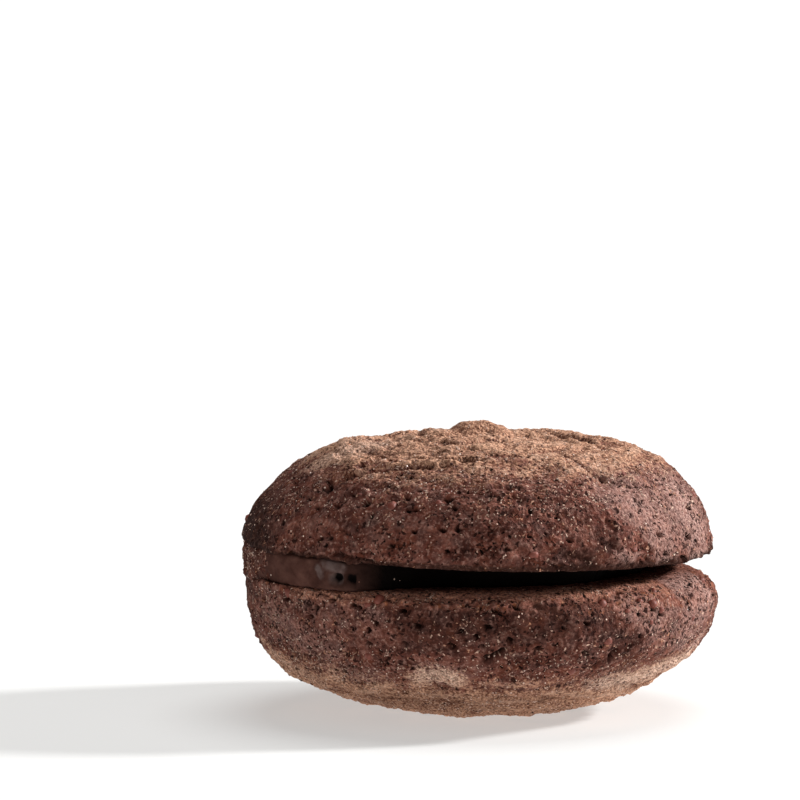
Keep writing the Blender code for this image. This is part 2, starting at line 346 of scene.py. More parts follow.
def nearTrails(add, value, name, keys, place):
    # each value of the nearest trail, fading out over its width
    near = wandered(add, place, 2.0, 3.0, fray[name])
    near = add("ShaderNodeVectorMath", {0: near, "Scale": mm}, operation="SCALE")
    trail = add("GeometryNodeObjectInfo", (value[name],)).outputs["Geometry"]
    index = add("GeometryNodeSampleNearest", {"Geometry": trail, "Sample Position": near})
    position = add("GeometryNodeInputPosition")
    there = add("GeometryNodeSampleIndex", {"Geometry": trail, "Value": position, "Index": index},
                data_type="FLOAT_VECTOR")
    away = add("ShaderNodeVectorMath", (near, there), operation="DISTANCE").outputs["Value"]
    away = add("ShaderNodeMath", (away, 1 / mm), operation="MULTIPLY")
    read = {}
    for key in ("width", *keys):
        carried = add("GeometryNodeInputNamedAttribute", {"Name": key}, data_type="FLOAT")
        read[key] = add("GeometryNodeSampleIndex", {"Geometry": trail, "Value": carried, "Index": index},
                        data_type="FLOAT")
    close = add("ShaderNodeMapRange", (away, read["width"], 0.0, 0.0, 1.0), interpolation_type="SMOOTHSTEP")
    return {key: add("ShaderNodeMath", (close, read[key]), operation="MULTIPLY") for key in keys}


# pores of the crumb: mm between their middles, radius in mm and the share of the places that hold one
pores = {
    "deep": (0.78, 0.165, 0.5),  # the same in the relief and in the colour
    "fine": (0.42, 0.18, 0.55),
    "sugar": (0.32, 0.12, 0.24),  # grains that lie as the pores do, but light
    "wobble": 0.8,  # how far off round
}


def poreDepth(add, place, spacing, radius, share, crowding=None):
    # 0 on the crust to 1 in the bottom of a pore, at a place in millimetres; crowding multiplies the share
    bent = wandered(add, place, 2.2, 1.0, pores["wobble"])
    cells = add("ShaderNodeTexVoronoi", {"Vector": bent, "Scale": 1 / spacing})
    away = add("ShaderNodeMath", (cells.outputs["Distance"], spacing), operation="MULTIPLY")
    chance = add("ShaderNodeSeparateXYZ", (cells.outputs["Color"],))
    size = add("ShaderNodeMapRange", {0: chance, 3: radius * 0.45, 4: radius * 1.35})
    crowd = add("ShaderNodeTexNoise", {"Vector": place, "Scale": 0.28, "Detail": 1.0})
    limit = add("ShaderNodeMapRange", (crowd, 0.35, 0.65, share * 0.2, share * 1.9))
    if crowding is not None:
        limit = add("ShaderNodeMath", (limit, crowding), operation="MULTIPLY")
    there = add("ShaderNodeMath", (chance.outputs[1], limit), operation="LESS_THAN")
    inner = add("ShaderNodeMath", (size, 0.6), operation="MULTIPLY")
    hollow = add("ShaderNodeMapRange", (away, size, inner, 0.0, 1.0), interpolation_type="SMOOTHSTEP")
    return add("ShaderNodeMath", (hollow, there), operation="MULTIPLY")


def lumps(add, place, size, detail, *reach):
    # noise in lumps of a size in millimetres, stretched from one range to another
    scale = add("ShaderNodeMath", (1.0, size), operation="DIVIDE")
    cloud = add("ShaderNodeTexNoise", {"Vector": place, "Scale": scale, "Detail": detail})
    return add("ShaderNodeMapRange", (cloud, *reach))


def withFields(add, geometry, fields):
    # fields kept on the points, for the material and for what is scattered
    for name, field in fields.items():
        kind = "FLOAT_VECTOR" if name == "restPlace" else "FLOAT"
        geometry = add("GeometryNodeStoreNamedAttribute",
                       {"Geometry": geometry, "Name": name, "Value": field}, data_type=kind, domain="POINT")
    return geometry


# relief of the crust, in millimetres: what a biscuit's smooth solid gets on top
crust = {
    "lumpSize": 1.9,
    "lumpHeight": 0.10,
    "crumbSize": 0.80,
    "crumbHeight": 0.12,
    "grainSize": 0.40,
    "grainHeight": 0.07,
    "poreDepth": 0.30,
    "tornSize": 1.2,  # lumps of the torn rims
    "tornHeight": 0.28,
    "crackSpacing": 5.2,
    "crackWidth": 0.24,
    "crackDepth": 0.26,
    "wrinkleSpacing": 0.6,
    "wrinkleHeight": 0.14,
    "dustWay": 1.0,  # 1 where the dusted dome is on top, -1 below
    "dustEdge": 22.0,  # height where the dust ends
    "dustFade": 1.5,
    "sprinkled": 4.5,  # how far beyond it single grains lie
    "dustBow": 0.0,  # rise of that edge for each square millimetre off the middle
    "rimDark": 0.9,  # painted shade on the side that faces the other biscuit, and without it the rim is red
    "insideDark": 1.0,  # painted shade on the face behind it, where it meets the filling
}
subdivisions = 3
trianglesKept = 192000


def reliefTree(finish):
    tree, add, value = newTree("crustRelief", crust, ("marks", "patches", "sprinklings"))
    position = add("GeometryNodeInputPosition")
    normal = add("GeometryNodeInputNormal")
    place = add("ShaderNodeVectorMath", {0: position, "Scale": 1 / mm}, operation="SCALE")
    parts = add("ShaderNodeSeparateXYZ", (place,))
    facing = add("ShaderNodeSeparateXYZ", (normal,))
    # 1 towards the dome's end, -1 towards the inner face
    outward = add("ShaderNodeMath", (facing.outputs[2], value["dustWay"]), operation="MULTIPLY")
    baked = add("ShaderNodeMapRange", (outward, -0.97, -0.75, 0.2, 1.0))
    cap = add("ShaderNodeMapRange", (outward, 0.4, 0.8))

    # the marks and patches of the photo, with ragged edges
    found = {}
    for name, keys in (("marks", ("rise",)), ("patches", patchKeys), ("sprinklings", ("sugar",))):
        found.update(nearTrails(add, value, name, keys, place))

    # dust lies on the dome beyond an uneven edge
    broad = add("ShaderNodeTexNoise", {"Vector": place, "Scale": 0.45, "Detail": 4.0, "Roughness": 0.6})
    broad = add("ShaderNodeMapRange", {0: broad, 3: -2.0, 4: 2.0})
    square = add("ShaderNodeMath", (parts.outputs[0], 2.0), operation="POWER")
    bow = add("ShaderNodeMath", (square, value["dustBow"]), operation="MULTIPLY")
    edge = add("ShaderNodeMath", (value["dustEdge"], bow), operation="ADD")
    height = add("ShaderNodeMath", (parts.outputs[2], edge), operation="SUBTRACT")
    height = add("ShaderNodeMath", (height, value["dustWay"], broad), operation="MULTIPLY_ADD")
    fadeIn = add("ShaderNodeMath", (value["dustFade"], -1.0), operation="MULTIPLY")
    dust = add("ShaderNodeMapRange", (height, fadeIn, value["dustFade"]), interpolation_type="SMOOTHSTEP")
    dust = add("ShaderNodeMath", (dust, found["dust"]), operation="ADD", use_clamp=True)
    away = add("ShaderNodeMath", (value["sprinkled"], -1.0), operation="MULTIPLY")
    sprinkle = add("ShaderNodeMapRange", {0: height, 1: away, 2: 0.0, 4: 0.6})
    sprinkle = add("ShaderNodeMath", (sprinkle, found["sugar"]), operation="ADD", use_clamp=True)

    heights = []
    for size, height, detail in (("lumpSize", "lumpHeight", 1.0), ("grainSize", "grainHeight", 2.0)):
        swing = lumps(add, place, value[size], detail, 0.0, 1.0, -2.0, 2.0)
        heights.append(add("ShaderNodeMath", (swing, value[height]), operation="MULTIPLY"))

    # crumb: rounded cells pushed together
    scale = add("ShaderNodeMath", (1.0, value["crumbSize"]), operation="DIVIDE")
    cells = add("ShaderNodeTexVoronoi", {"Vector": place, "Scale": scale, "Smoothness": 0.5},
                feature="SMOOTH_F1")
    rounded = add("ShaderNodeMapRange", (cells.outputs["Distance"], 0.1, 0.8, 0.5, -0.5))
    heights.append(add("ShaderNodeMath", (rounded, value["crumbHeight"]), operation="MULTIPLY"))

    # wrinkles run round the middle of the cap
    spread = add("ShaderNodeVectorMath", (place, (1.0, 1.0, 0.0)), operation="MULTIPLY")
    radius = add("ShaderNodeVectorMath", (spread,), operation="LENGTH").outputs["Value"]
    around = add("ShaderNodeVectorMath", (spread,), operation="NORMALIZE")
    around = add("ShaderNodeVectorMath", {0: around, "Scale": 5.5}, operation="SCALE")
    rings = add("ShaderNodeMath", (radius, value["wrinkleSpacing"]), operation="DIVIDE")
    rings = add("ShaderNodeCombineXYZ", {2: rings})
    rings = add("ShaderNodeVectorMath", (rings, around), operation="ADD")
    folds = add("ShaderNodeTexNoise", {"Vector": rings, "Scale": 0.6, "Detail": 2.0})
    folds = add("ShaderNodeMapRange", (folds, 0.3, 0.7, -1.0, 1.0))
    folds = add("ShaderNodeMath", (folds, cap), operation="MULTIPLY")
    heights.append(add("ShaderNodeMath", (folds, value["wrinkleHeight"]), operation="MULTIPLY"))

    # the rims are torn
    rim = add("ShaderNodeMapRange", (outward, -0.1, -0.7))
    torn = lumps(add, place, value["tornSize"], 3.0, 0.3, 0.7, -1.0, 1.0)
    torn = add("ShaderNodeMath", (torn, rim), operation="MULTIPLY")
    heights.append(add("ShaderNodeMath", (torn, value["tornHeight"]), operation="MULTIPLY"))

    # pores, but few of them under the dust
    hollow = poreDepth(add, place, *pores["deep"])
    openShare = add("ShaderNodeMapRange", {0: dust, 3: 1.0, 4: 0.3})
    hollow = add("ShaderNodeMath", (hollow, openShare), operation="MULTIPLY")
    sink = add("ShaderNodeMath", (value["poreDepth"], -1.0), operation="MULTIPLY")
    heights.append(add("ShaderNodeMath", (hollow, sink), operation="MULTIPLY"))

    # cracks where the crust has torn, only here and there
    bend = add("ShaderNodeTexNoise", {"Vector": place, "Scale": 0.7, "Detail": 3.0})
    bend = add("ShaderNodeVectorMath", {0: bend.outputs[1], "Scale": 3.4}, operation="SCALE")
    bent = add("ShaderNodeVectorMath", (place, bend), operation="ADD")
    scale = add("ShaderNodeMath", (1.0, value["crackSpacing"]), operation="DIVIDE")
    edges = add("ShaderNodeTexVoronoi", {"Vector": bent, "Scale": scale}, feature="DISTANCE_TO_EDGE")
    away = add("ShaderNodeMath", (edges, value["crackSpacing"]), operation="MULTIPLY")
    line = add("ShaderNodeMapRange", (away, value["crackWidth"], 0.02, 0.0, 1.0),
               interpolation_type="SMOOTHSTEP")
    gate = add("ShaderNodeTexNoise", {"Vector": place, "Scale": 0.33, "Detail": 2.0})
    gate = add("ShaderNodeMapRange", (gate, 0.54, 0.62))
    line = add("ShaderNodeMath", (line, gate), operation="MULTIPLY")
    sink = add("ShaderNodeMath", (value["crackDepth"], -1.0), operation="MULTIPLY")
    heights.append(add("ShaderNodeMath", (line, sink), operation="MULTIPLY"))

    total = heights[0]
    for height in heights[1:]:
        total = add("ShaderNodeMath", (total, height), operation="ADD")
    rough = add("ShaderNodeMath", (1.0, found["calm"]), operation="SUBTRACT")
    total = add("ShaderNodeMath", (total, rough), operation="MULTIPLY")
    total = add("ShaderNodeMath", (total, found["rise"]), operation="ADD")
    total = add("ShaderNodeMath", (total, baked), operation="MULTIPLY")

    # painted shade in the slit: on the face that meets the filling and on the side that faces the other
    # biscuit, and then the painted shade of the dark patches
    shadedInside = add("ShaderNodeMapRange", (outward, -0.9, -0.99))
    shadedInside = add("ShaderNodeMath", (shadedInside, value["insideDark"]), operation="MULTIPLY")
    shadedSide = add("ShaderNodeMapRange", (outward, 0.0, -0.45))
    dark = add("ShaderNodeMath", (shadedSide, value["rimDark"], shadedInside), operation="MULTIPLY_ADD")
    dark = add("ShaderNodeMath", (dark, found["dark"]), operation="ADD", use_clamp=True)

    # the material reads torn, and the loose grains read rim
    geometry = withFields(add, value["Geometry"], {
        "restPlace": place, "relief": total, "fold": folds, "dust": dust, "sprinkle": sprinkle,
        "dark": dark, "pale": found["pale"], "red": found["red"], "rim": rim, "torn": rim,
    })
    relief = add("GeometryNodeInputNamedAttribute", {"Name": "relief"}, data_type="FLOAT")
    lift = add("ShaderNodeMath", (relief, mm), operation="MULTIPLY")
    offset = add("ShaderNodeVectorMath", {0: normal, "Scale": lift}, operation="SCALE")
    raised = add("GeometryNodeSetPosition", {"Geometry": geometry, "Offset": offset})
    # nothing goes below the flat spot that the cookie rests on
    after = add("ShaderNodeVectorMath", (position, (-1.0, -1.0, 0.0)), operation="MAXIMUM")
    raised = add("GeometryNodeSetPosition", {"Geometry": raised, "Position": after})
    return endTree(tree, add, raised, finish)


def thinned(piece, most):
    triangles = sum(len(face.vertices) - 2 for face in piece.data.polygons)
    thin = piece.modifiers.new("thin", "DECIMATE")
    thin.ratio = min(1.0, most / triangles)
    applied(piece)
    piece.data.shade_smooth()
    report(f"{piece.name}: {triangles} triangles thinned to {len(piece.data.polygons)}")


def bakedBiscuit(nodeName, pieceName, relief, values):
    piece = mergedCopy(nodeName, pieceName)
    smooth = piece.modifiers.new("smooth", "SUBSURF")
    smooth.levels = subdivisions
    smooth.render_levels = subdivisions
    useTree(piece, relief, values)
    applied(piece)
    thinned(piece, trianglesKept)
    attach(piece, "root")
    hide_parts(nodeName)
    return piece


def newMaterial(name, finish):
    # the finish adds its nodes and gives what goes into the shader
    made = bpy.data.materials.new(name)
    made.use_nodes = True
    made.node_tree.nodes.clear()
    add = adderFor(made.node_tree)
    shader = add("ShaderNodeBsdfPrincipled", finish(add))
    add("ShaderNodeOutputMaterial", (shader,))
    return made


def tinted(add, colour, share, tint, most=1):
    # a colour with a share of a tint over it, and at most so much
    if most < 1:
        share = add("ShaderNodeMath", (share, most), operation="MULTIPLY")
    colour, tint = (hexColour(side) if isinstance(side, str) else side for side in (colour, tint))
    return add("ShaderNodeMix", {0: share, 6: colour, 7: tint}, data_type="RGBA").outputs[2]


def setStops(ramp, stops):
    # the first two colours go on the ramp's own ends, and another between them
    ends = list(ramp.color_ramp.elements)
    for place, tint in stops.items():
        stop = ends.pop(0) if ends else ramp.color_ramp.elements.new(place)
        stop.position = place
        stop.color = hexColour(tint)


def bakedCrust(add):
    # soft almond dough with cocoa, baked: a matt, open-pored crumb under a skin of cocoa and sugar dust
    read = {}
    for name in ("relief", "fold", "dust", "sprinkle", "dark", "torn", "pale", "red"):
        read[name] = add("ShaderNodeAttribute", attribute_name=name).outputs["Fac"]
    place = add("ShaderNodeAttribute", attribute_name="restPlace").outputs["Vector"]
    elsewhere = add("ShaderNodeVectorMath", (place, (17.0, 31.0, 43.0)), operation="ADD")

    depth = poreDepth(add, place, *pores["deep"])
    crowding = add("ShaderNodeMapRange", {0: read["pale"], 2: 0.4, 3: 1.0, 4: 2.8})
    fine = poreDepth(add, place, *pores["fine"], crowding)
    crowding = add("ShaderNodeMapRange", {0: read["sprinkle"], 3: 0.5, 4: 3.2})
    grains = poreDepth(add, elsewhere, *pores["sugar"], crowding)

    # ground almonds, in grains of a third of a millimetre, and finer flour
    meal = add("ShaderNodeTexNoise", {"Vector": place, "Scale": 3.0, "Detail": 2.0, "Roughness": 0.55})
    grain = add("ShaderNodeTexNoise", {"Vector": place, "Scale": 5.0, "Detail": 2.0, "Roughness": 0.6})
    grainy = add("ShaderNodeMapRange", (grain, 0.38, 0.62, 0.3, 1.3))
    for name in ("pale", "red"):
        read[name] = add("ShaderNodeMath", (read[name], grainy), operation="MULTIPLY")

    tone = add("ShaderNodeTexNoise", {"Vector": place, "Scale": 0.7, "Detail": 4.0, "Roughness": 0.6})
    colour = add("ShaderNodeValToRGB", (tone,))
    setStops(colour, {0.32: "#42211a", 0.68: "#8f5b4d", 0.5: "#673a30"})
    # cocoa butter that has come out greyish, and sugar that has browned to red
    hue = add("ShaderNodeTexNoise", {"Vector": place, "Scale": 1.0, "Detail": 3.0})
    for low, high, tint, most in ((0.5, 0.66, "#74564f", 0.4), (0.47, 0.3, "#743b26", 0.45)):
        share = add("ShaderNodeMapRange", (hue, low, high))
        colour = tinted(add, colour, share, tint, most)
    # the torn rim is red-brown with flecks of caramel, and the face behind it gets painted shade
    band = add("ShaderNodeMapRange", (read["torn"], 0.1, 0.45))
    flecks = add("ShaderNodeTexNoise", {"Vector": place, "Scale": 1.7, "Detail": 2.0})
    flecks = add("ShaderNodeMapRange", (flecks, 0.6, 0.67))
    flecks = add("ShaderNodeMath", (flecks, band), operation="MULTIPLY")
    # crests of the meal get a painted highlight, less of it where painted shade lies, and the gaps between
    # them get painted shade
    crests = add("ShaderNodeMapRange", (meal, 0.52, 0.68))
    shown = add("ShaderNodeMapRange", {0: read["dark"], 3: 1.0, 4: 0.25})
    crests = add("ShaderNodeMath", (crests, shown), operation="MULTIPLY")
    gaps = add("ShaderNodeMapRange", (meal, 0.45, 0.35))
    for share, tint, most in (
        (band, "#8b5647", 0.5), (flecks, "#ab663f", 0.5), (read["dark"], "#20110d", 0.88),
        (read["pale"], "#b8948a", 0.75), (read["red"], "#c48a72", 0.85), (crests, "#b98d7e", 0.45),
        (gaps, "#3d2018", 0.35),
    ):
        colour = tinted(add, colour, share, tint, most)
    speck = add("ShaderNodeMapRange", (grain, 0.36, 0.64, 0.82, 1.22))
    colour = add("ShaderNodeMix", {0: 1.0, 6: colour, 7: speck}, data_type="RGBA",
                 blend_type="MULTIPLY").outputs[2]

    # dust of cocoa and sugar: fine grains that thin out at the edge and stay off the pores
    powder = add("ShaderNodeTexNoise", {"Vector": place, "Scale": 2.6, "Detail": 4.0, "Roughness": 0.75})
    powder = add("ShaderNodeMapRange", (powder, 0.36, 0.64, -0.5, 0.5))
    patchy = add("ShaderNodeMapRange", (read["dust"], 0.4, 1.0, 1.9, 1.0))
    cover = add("ShaderNodeMath", (powder, patchy, read["dust"]), operation="MULTIPLY_ADD")
    high = add("ShaderNodeMapRange", (read["relief"], -0.15, 0.15, -0.3, 0.3))
    cover = add("ShaderNodeMath", (cover, high), operation="ADD")
    cover = add("ShaderNodeMapRange", {0: cover, 1: 0.25, 2: 0.85, 4: 0.93})
    present = add("ShaderNodeMapRange", (read["dust"], 0.03, 0.35))
    cover = add("ShaderNodeMath", (cover, present), operation="MULTIPLY")
    fineness = add("ShaderNodeMapRange", {0: grain, 1: 0.38, 2: 0.62, 4: 0.85})
    # the dust gets a painted highlight where the relief is raised and on its ridges, and painted shade in its
    # creases and gaps and in the dark patches
    raised = add("ShaderNodeMapRange", {0: read["relief"], 1: -0.15, 2: 0.22, 4: 0.28})
    shade = add("ShaderNodeMath", (fineness, raised), operation="ADD")
    shade = tinted(add, "#6a3f2d", shade, "#ecb898")
    creases = add("ShaderNodeMapRange", (read["fold"], -0.45, -0.8))
    ridges = add("ShaderNodeMapRange", (read["fold"], 0.4, 0.8))
    thin = add("ShaderNodeMapRange", (read["dust"], 0.9, 0.3))
    for share, tint, most in (
        (creases, "#633a29", 0.65), (ridges, "#e8bda3", 0.5), (thin, "#96604d", 0.6),
        (read["pale"], "#ffdbc4", 0.75), (gaps, "#643b2b", 0.45), (read["dark"], "#5d3a2a", 0.6),
    ):
        shade = tinted(add, shade, share, tint, most)
    colour = tinted(add, colour, cover, shade)

    # sugar grains on top, and painted shade in the cracks and pores
    light = add("ShaderNodeMapRange", (hue, 0.4, 0.6))
    light = tinted(add, "#c98d70", light, "#f2cdb8")
    colour = tinted(add, colour, grains, light, 0.85)
    for low, high, tint, most in ((-0.2, -0.45, "#351b13", 0.6), (-0.4, -0.7, "#160906", 0.85)):
        share = add("ShaderNodeMapRange", (read["relief"], low, high))
        colour = tinted(add, colour, share, tint, most)
    bare = add("ShaderNodeMapRange", {0: cover, 3: 1.0, 4: 0.25})
    fine = add("ShaderNodeMath", (fine, bare), operation="MULTIPLY")
    colour = tinted(add, colour, fine, "#2b110b", 0.92)
    depth = add("ShaderNodeMath", (depth, bare), operation="MULTIPLY")
    colour = tinted(add, colour, depth, "#140906", 0.94)

    bumps = add("ShaderNodeMath", (meal, 1.8, grains), operation="MULTIPLY_ADD")
    bumps = add("ShaderNodeMath", (grain, bumps), operation="ADD")
    for hollow in (fine, depth):
        bumps = add("ShaderNodeMath", (bumps, hollow), operation="SUBTRACT")
    bump = add("ShaderNodeBump", {"Strength": 1.0, "Distance": 0.12 * mm, "Height": bumps})
    return {"Base Color": colour, "Roughness": 0.85, "IOR": 1.45, "Specular IOR Level": 0.12, "Normal": bump}


def chocolatePaste(add):
    # chocolate filling, spread while soft: dull and smooth, with a grey bloom where it was pressed
    place = add("ShaderNodeTexCoord").outputs["Object"]
    place = add("ShaderNodeMapping", {0: place, "Scale": (1 / mm, 1 / mm, 1 / mm)})
    read = {}
    for name in ("bloom", "hole", "smeared"):
        read[name] = add("ShaderNodeAttribute", attribute_name=name).outputs["Fac"]
    cloud = add("ShaderNodeTexNoise", {"Vector": place, "Scale": 0.6, "Detail": 4.0})
    colour = add("ShaderNodeValToRGB", (cloud,))
    setStops(colour, {0.35: "#4c2f28", 0.7: "#6e4b41"})
    grain = add("ShaderNodeTexNoise", {"Vector": place, "Scale": 3.4, "Detail": 3.0})
    # deep in the slit the filling is painted near black as painted shade, and only its left end keeps its own
    # brown
    colour = tinted(add, "#0d0706", read["smeared"], colour.outputs[0])
    bloomed = add("ShaderNodeMapRange", {0: read["bloom"], 1: 0.1, 2: 0.55, 4: 0.9})
    patchy = add("ShaderNodeTexNoise", {"Vector": place, "Scale": 1.1, "Detail": 2.0})
    patchy = add("ShaderNodeMapRange", (patchy, 0.35, 0.55, 0.45, 1.0))
    bloomed = add("ShaderNodeMath", (bloomed, patchy), operation="MULTIPLY")
    colour = tinted(add, colour, bloomed, "#725f5b")
    # air holes are painted near black inside, as painted shade
    shadedInside = add("ShaderNodeMapRange", (read["hole"], 0.35, 0.7))
    colour = tinted(add, colour, shadedInside, "#0c0605")
    bump = add("ShaderNodeBump", {"Strength": 0.6, "Distance": 0.08 * mm, "Height": grain})
    return {"Base Color": colour, "Roughness": 0.8, "IOR": 1.46, "Specular IOR Level": 0.06, "Normal": bump}


def grainByGrain(add, cell):
    # a number by chance for each small cell, so that each loose grain has a tone of its own
    place = add("ShaderNodeTexCoord").outputs["Object"]
    place = add("ShaderNodeVectorMath", (place, (cell, cell, cell)), operation="SNAP")
    return add("ShaderNodeTexWhiteNoise", {"Vector": place})


def sugar(add):
    # caster sugar crystals: clear and sharp-edged, so they flash white
    colour = tinted(add, "#b07b65", grainByGrain(add, 0.0002), "#ffe3d0")
    return {"Base Color": colour, "Roughness": 0.3, "IOR": 1.54, "Specular IOR Level": 0.35}


def crumb(add):
    # loose crumbs of the same dough, some browner and some redder than the crust
    colour = add("ShaderNodeValToRGB", (grainByGrain(add, 0.0005),))
    setStops(colour, {0.0: "#3f231b", 1.0: "#a8795f", 0.6: "#73483a"})
    return {"Base Color": colour, "Roughness": 0.8}


def dustGrains(add):
    # grains of cocoa and icing sugar: matt and tan
    colour = tinted(add, "#9c6f57", grainByGrain(add, 0.0003), "#dcb598")
    return {"Base Color": colour, "Roughness": 0.9}


def almondSkin(add):
    # roasted bits of almond with their skin: red-brown and a little oily
    place = add("ShaderNodeTexCoord").outputs["Object"]
    place = add("ShaderNodeMapping", {0: place, "Scale": (1 / mm, 1 / mm, 1 / mm)})
    cloud = add("ShaderNodeTexNoise", {"Vector": place, "Scale": 2.4, "Detail": 3.0})
    colour = tinted(add, "#642e22", cloud, "#965040")
    bump = add("ShaderNodeBump", {"Strength": 0.6, "Distance": 0.08 * mm, "Height": cloud})
    return {"Base Color": colour, "Roughness": 0.55, "IOR": 1.46, "Normal": bump}


def lightTable(add):
    # opal acrylic light table: matt white, a little uneven, and it glows softly from below
    place = add("ShaderNodeTexCoord").outputs["Object"]
    cloud = add("ShaderNodeTexNoise", {"Vector": place, "Scale": 60.0, "Detail": 3.0})
    colour = tinted(add, "#bcbcbb", cloud, "#c0c0bf")
    return {"Base Color": colour, "Roughness": 0.9, "Specular IOR Level": 0.2,
            "Emission Color": hexColour("#fffefc"), "Emission Strength": 0.46}


# the filling sticks to both biscuits, so it is spread until it meets them, and then gets its own surface
paste = {
    "spread": 0.4,  # mm up and down
    "swell": 0.05,  # mm
    "swellSize": 1.4,
    "smear": 0.05,
    "smearSize": 0.35,
    "crumbedFrom": -17.4,  # left of this the filling is covered with crumbs
    "crumbedOver": 2.6,
    "crumbed": 0.14,
    "crumbedSize": 0.9,
    "smearedFrom": -8.5,  # left of this the filling shows its own lighter brown, and to the right it is painted near black as the shade of the slit
    "smearedOver": 6.5,
}
pasteVoxel = 0.11 * mm
pasteTriangles = 90000

# air holes, dents and bloomed spots that the photo shows in the filling
holes = [
    along([(334, 578), (337, 578)], 0.95, rise=-0.7, bloom=0.9, dark=1.0),
    along([(350, 579), (355, 580)], 0.85, rise=-0.6, bloom=0.2, dark=1.0),
    along([(312, 558), (321, 561), (330, 565), (341, 568)], 0.8, rise=0.1, bloom=1.0),
    along([(318, 568), (321, 575)], 0.6, rise=0.05, bloom=0.8),
    along([(360, 580), (364, 584)], 0.4, rise=0.0, sugar=1.0),
    along([(389, 578), (401, 581)], 0.4, rise=0.0, sugar=1.0),
    along([(252, 573), (268, 578), (290, 583)], 1.2, rise=0.5, sugar=0.2),
]
holeKeys = ("rise", "bloom", "dark", "sugar")


def pasteSpread(finish):
    tree, add, value = newTree("pasteSpread", paste)
    normal = add("GeometryNodeInputNormal")
    way = add("ShaderNodeSeparateXYZ", (normal,))
    way = add("ShaderNodeMapRange", (way.outputs[2], -0.8, 0.8, -mm, mm), interpolation_type="SMOOTHSTEP")
    way = add("ShaderNodeMath", (way, value["spread"]), operation="MULTIPLY")
    offset = add("ShaderNodeCombineXYZ", {2: way})
    moved = add("GeometryNodeSetPosition", {"Geometry": value["Geometry"], "Offset": offset})
    return endTree(tree, add, moved, finish)


def pasteSurface(finish, crumbs):
    tree, add, value = newTree("pasteSurface", paste, ("holes",))
    position = add("GeometryNodeInputPosition")
    normal = add("GeometryNodeInputNormal")
    place = add("ShaderNodeVectorMath", {0: position, "Scale": 1 / mm}, operation="SCALE")
    found = nearTrails(add, value, "holes", holeKeys, place)
    total = found["rise"]
    for size, height in (("swellSize", "swell"), ("smearSize", "smear")):
        swing = lumps(add, place, value[size], 2.0, 0.0, 1.0, -2.0, 2.0)
        total = add("ShaderNodeMath", (swing, value[height], total), operation="MULTIPLY_ADD")
    across = add("ShaderNodeSeparateXYZ", (place,))
    masks = []
    for kind in ("crumbed", "smeared"):
        end = add("ShaderNodeMath", (value[f"{kind}From"], value[f"{kind}Over"]), operation="SUBTRACT")
        masks.append(add("ShaderNodeMapRange", {0: across, 1: value[f"{kind}From"], 2: end}))
    crumbed, smeared = masks
    swing = lumps(add, place, value["crumbedSize"], 3.0, 0.3, 0.7, -1.0, 1.0)
    rough = add("ShaderNodeMath", (crumbed, value["crumbed"]), operation="MULTIPLY")
    total = add("ShaderNodeMath", (swing, rough, total), operation="MULTIPLY_ADD")
    ragged = lumps(add, place, value["crumbedSize"], 3.0, 0.35, 0.65, 0.1, 0.9)
    covered = add("ShaderNodeMath", (crumbed, ragged), operation="GREATER_THAN")
    # loose grains keep to the crumbed end
    sprinkle = add("ShaderNodeMath", (crumbed, found["sugar"]), operation="ADD", use_clamp=True)
    bare = add("ShaderNodeMapRange", (sprinkle, 0.2, 0.8, 1.0, 0.6))
    geometry = withFields(add, value["Geometry"], {
        "bloom": found["bloom"], "hole": found["dark"], "smeared": smeared, "rim": bare, "relief": 0.0,
        "fold": 0.0, "dust": 0.0, "sprinkle": sprinkle, "dark": 0.2, "torn": 0.0, "pale": 0.0, "red": 0.0,
        "restPlace": place, "covered": covered,
    })
    lift = add("ShaderNodeMath", (total, mm), operation="MULTIPLY")
    offset = add("ShaderNodeVectorMath", {0: normal, "Scale": lift}, operation="SCALE")
    moved = add("GeometryNodeSetPosition", {"Geometry": geometry, "Offset": offset})
    whole = add("GeometryNodeRealizeInstances", (moved,))
    whole = add("GeometryNodeSetMaterial", {"Geometry": whole, "Material": finish})
    stuck = add("GeometryNodeInputNamedAttribute", {"Name": "covered"}, data_type="FLOAT")
    stuck = add("ShaderNodeMath", (stuck, 0.5), operation="GREATER_THAN")
    whole = add("GeometryNodeSetMaterial", {"Geometry": whole, "Selection": stuck, "Material": crumbs})
    add("NodeGroupOutput", (whole,))
    return tree


def makeFilling(finish, crumbs, trails):
    piece = mergedCopy("filling", "fillingLayer")
    useTree(piece, pasteSpread(finish), {})
    even = piece.modifiers.new("even", "REMESH")
    even.mode = "VOXEL"
    even.voxel_size = pasteVoxel
    useTree(piece, pasteSurface(finish, crumbs), {"holes": trails})
    applied(piece)
    thinned(piece, pasteTriangles)
    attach(piece, "root")
    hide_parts("filling")
    return piece


def sown(add, points, facing, size, sink, shape, scale):
    # a shape on every point, turned by chance, and sunk into the crust by a share of its size
    down = add("ShaderNodeMath", (size, sink), operation="MULTIPLY")
    down = add("ShaderNodeMath", (down, -1.0), operation="MULTIPLY")
    sunk = add("ShaderNodeVectorMath", {0: facing, "Scale": down}, operation="SCALE")
    points = add("GeometryNodeSetPosition", {"Geometry": points, "Offset": sunk})
    turn = add("FunctionNodeRandomValue", {0: (0.0, 0.0, 0.0), 1: (6.28, 6.28, 6.28), "Seed": 3},
               data_type="FLOAT_VECTOR").outputs[0]
    return add("GeometryNodeInstanceOnPoints",
               {"Points": points, "Instance": shape, "Rotation": turn, "Scale": scale})


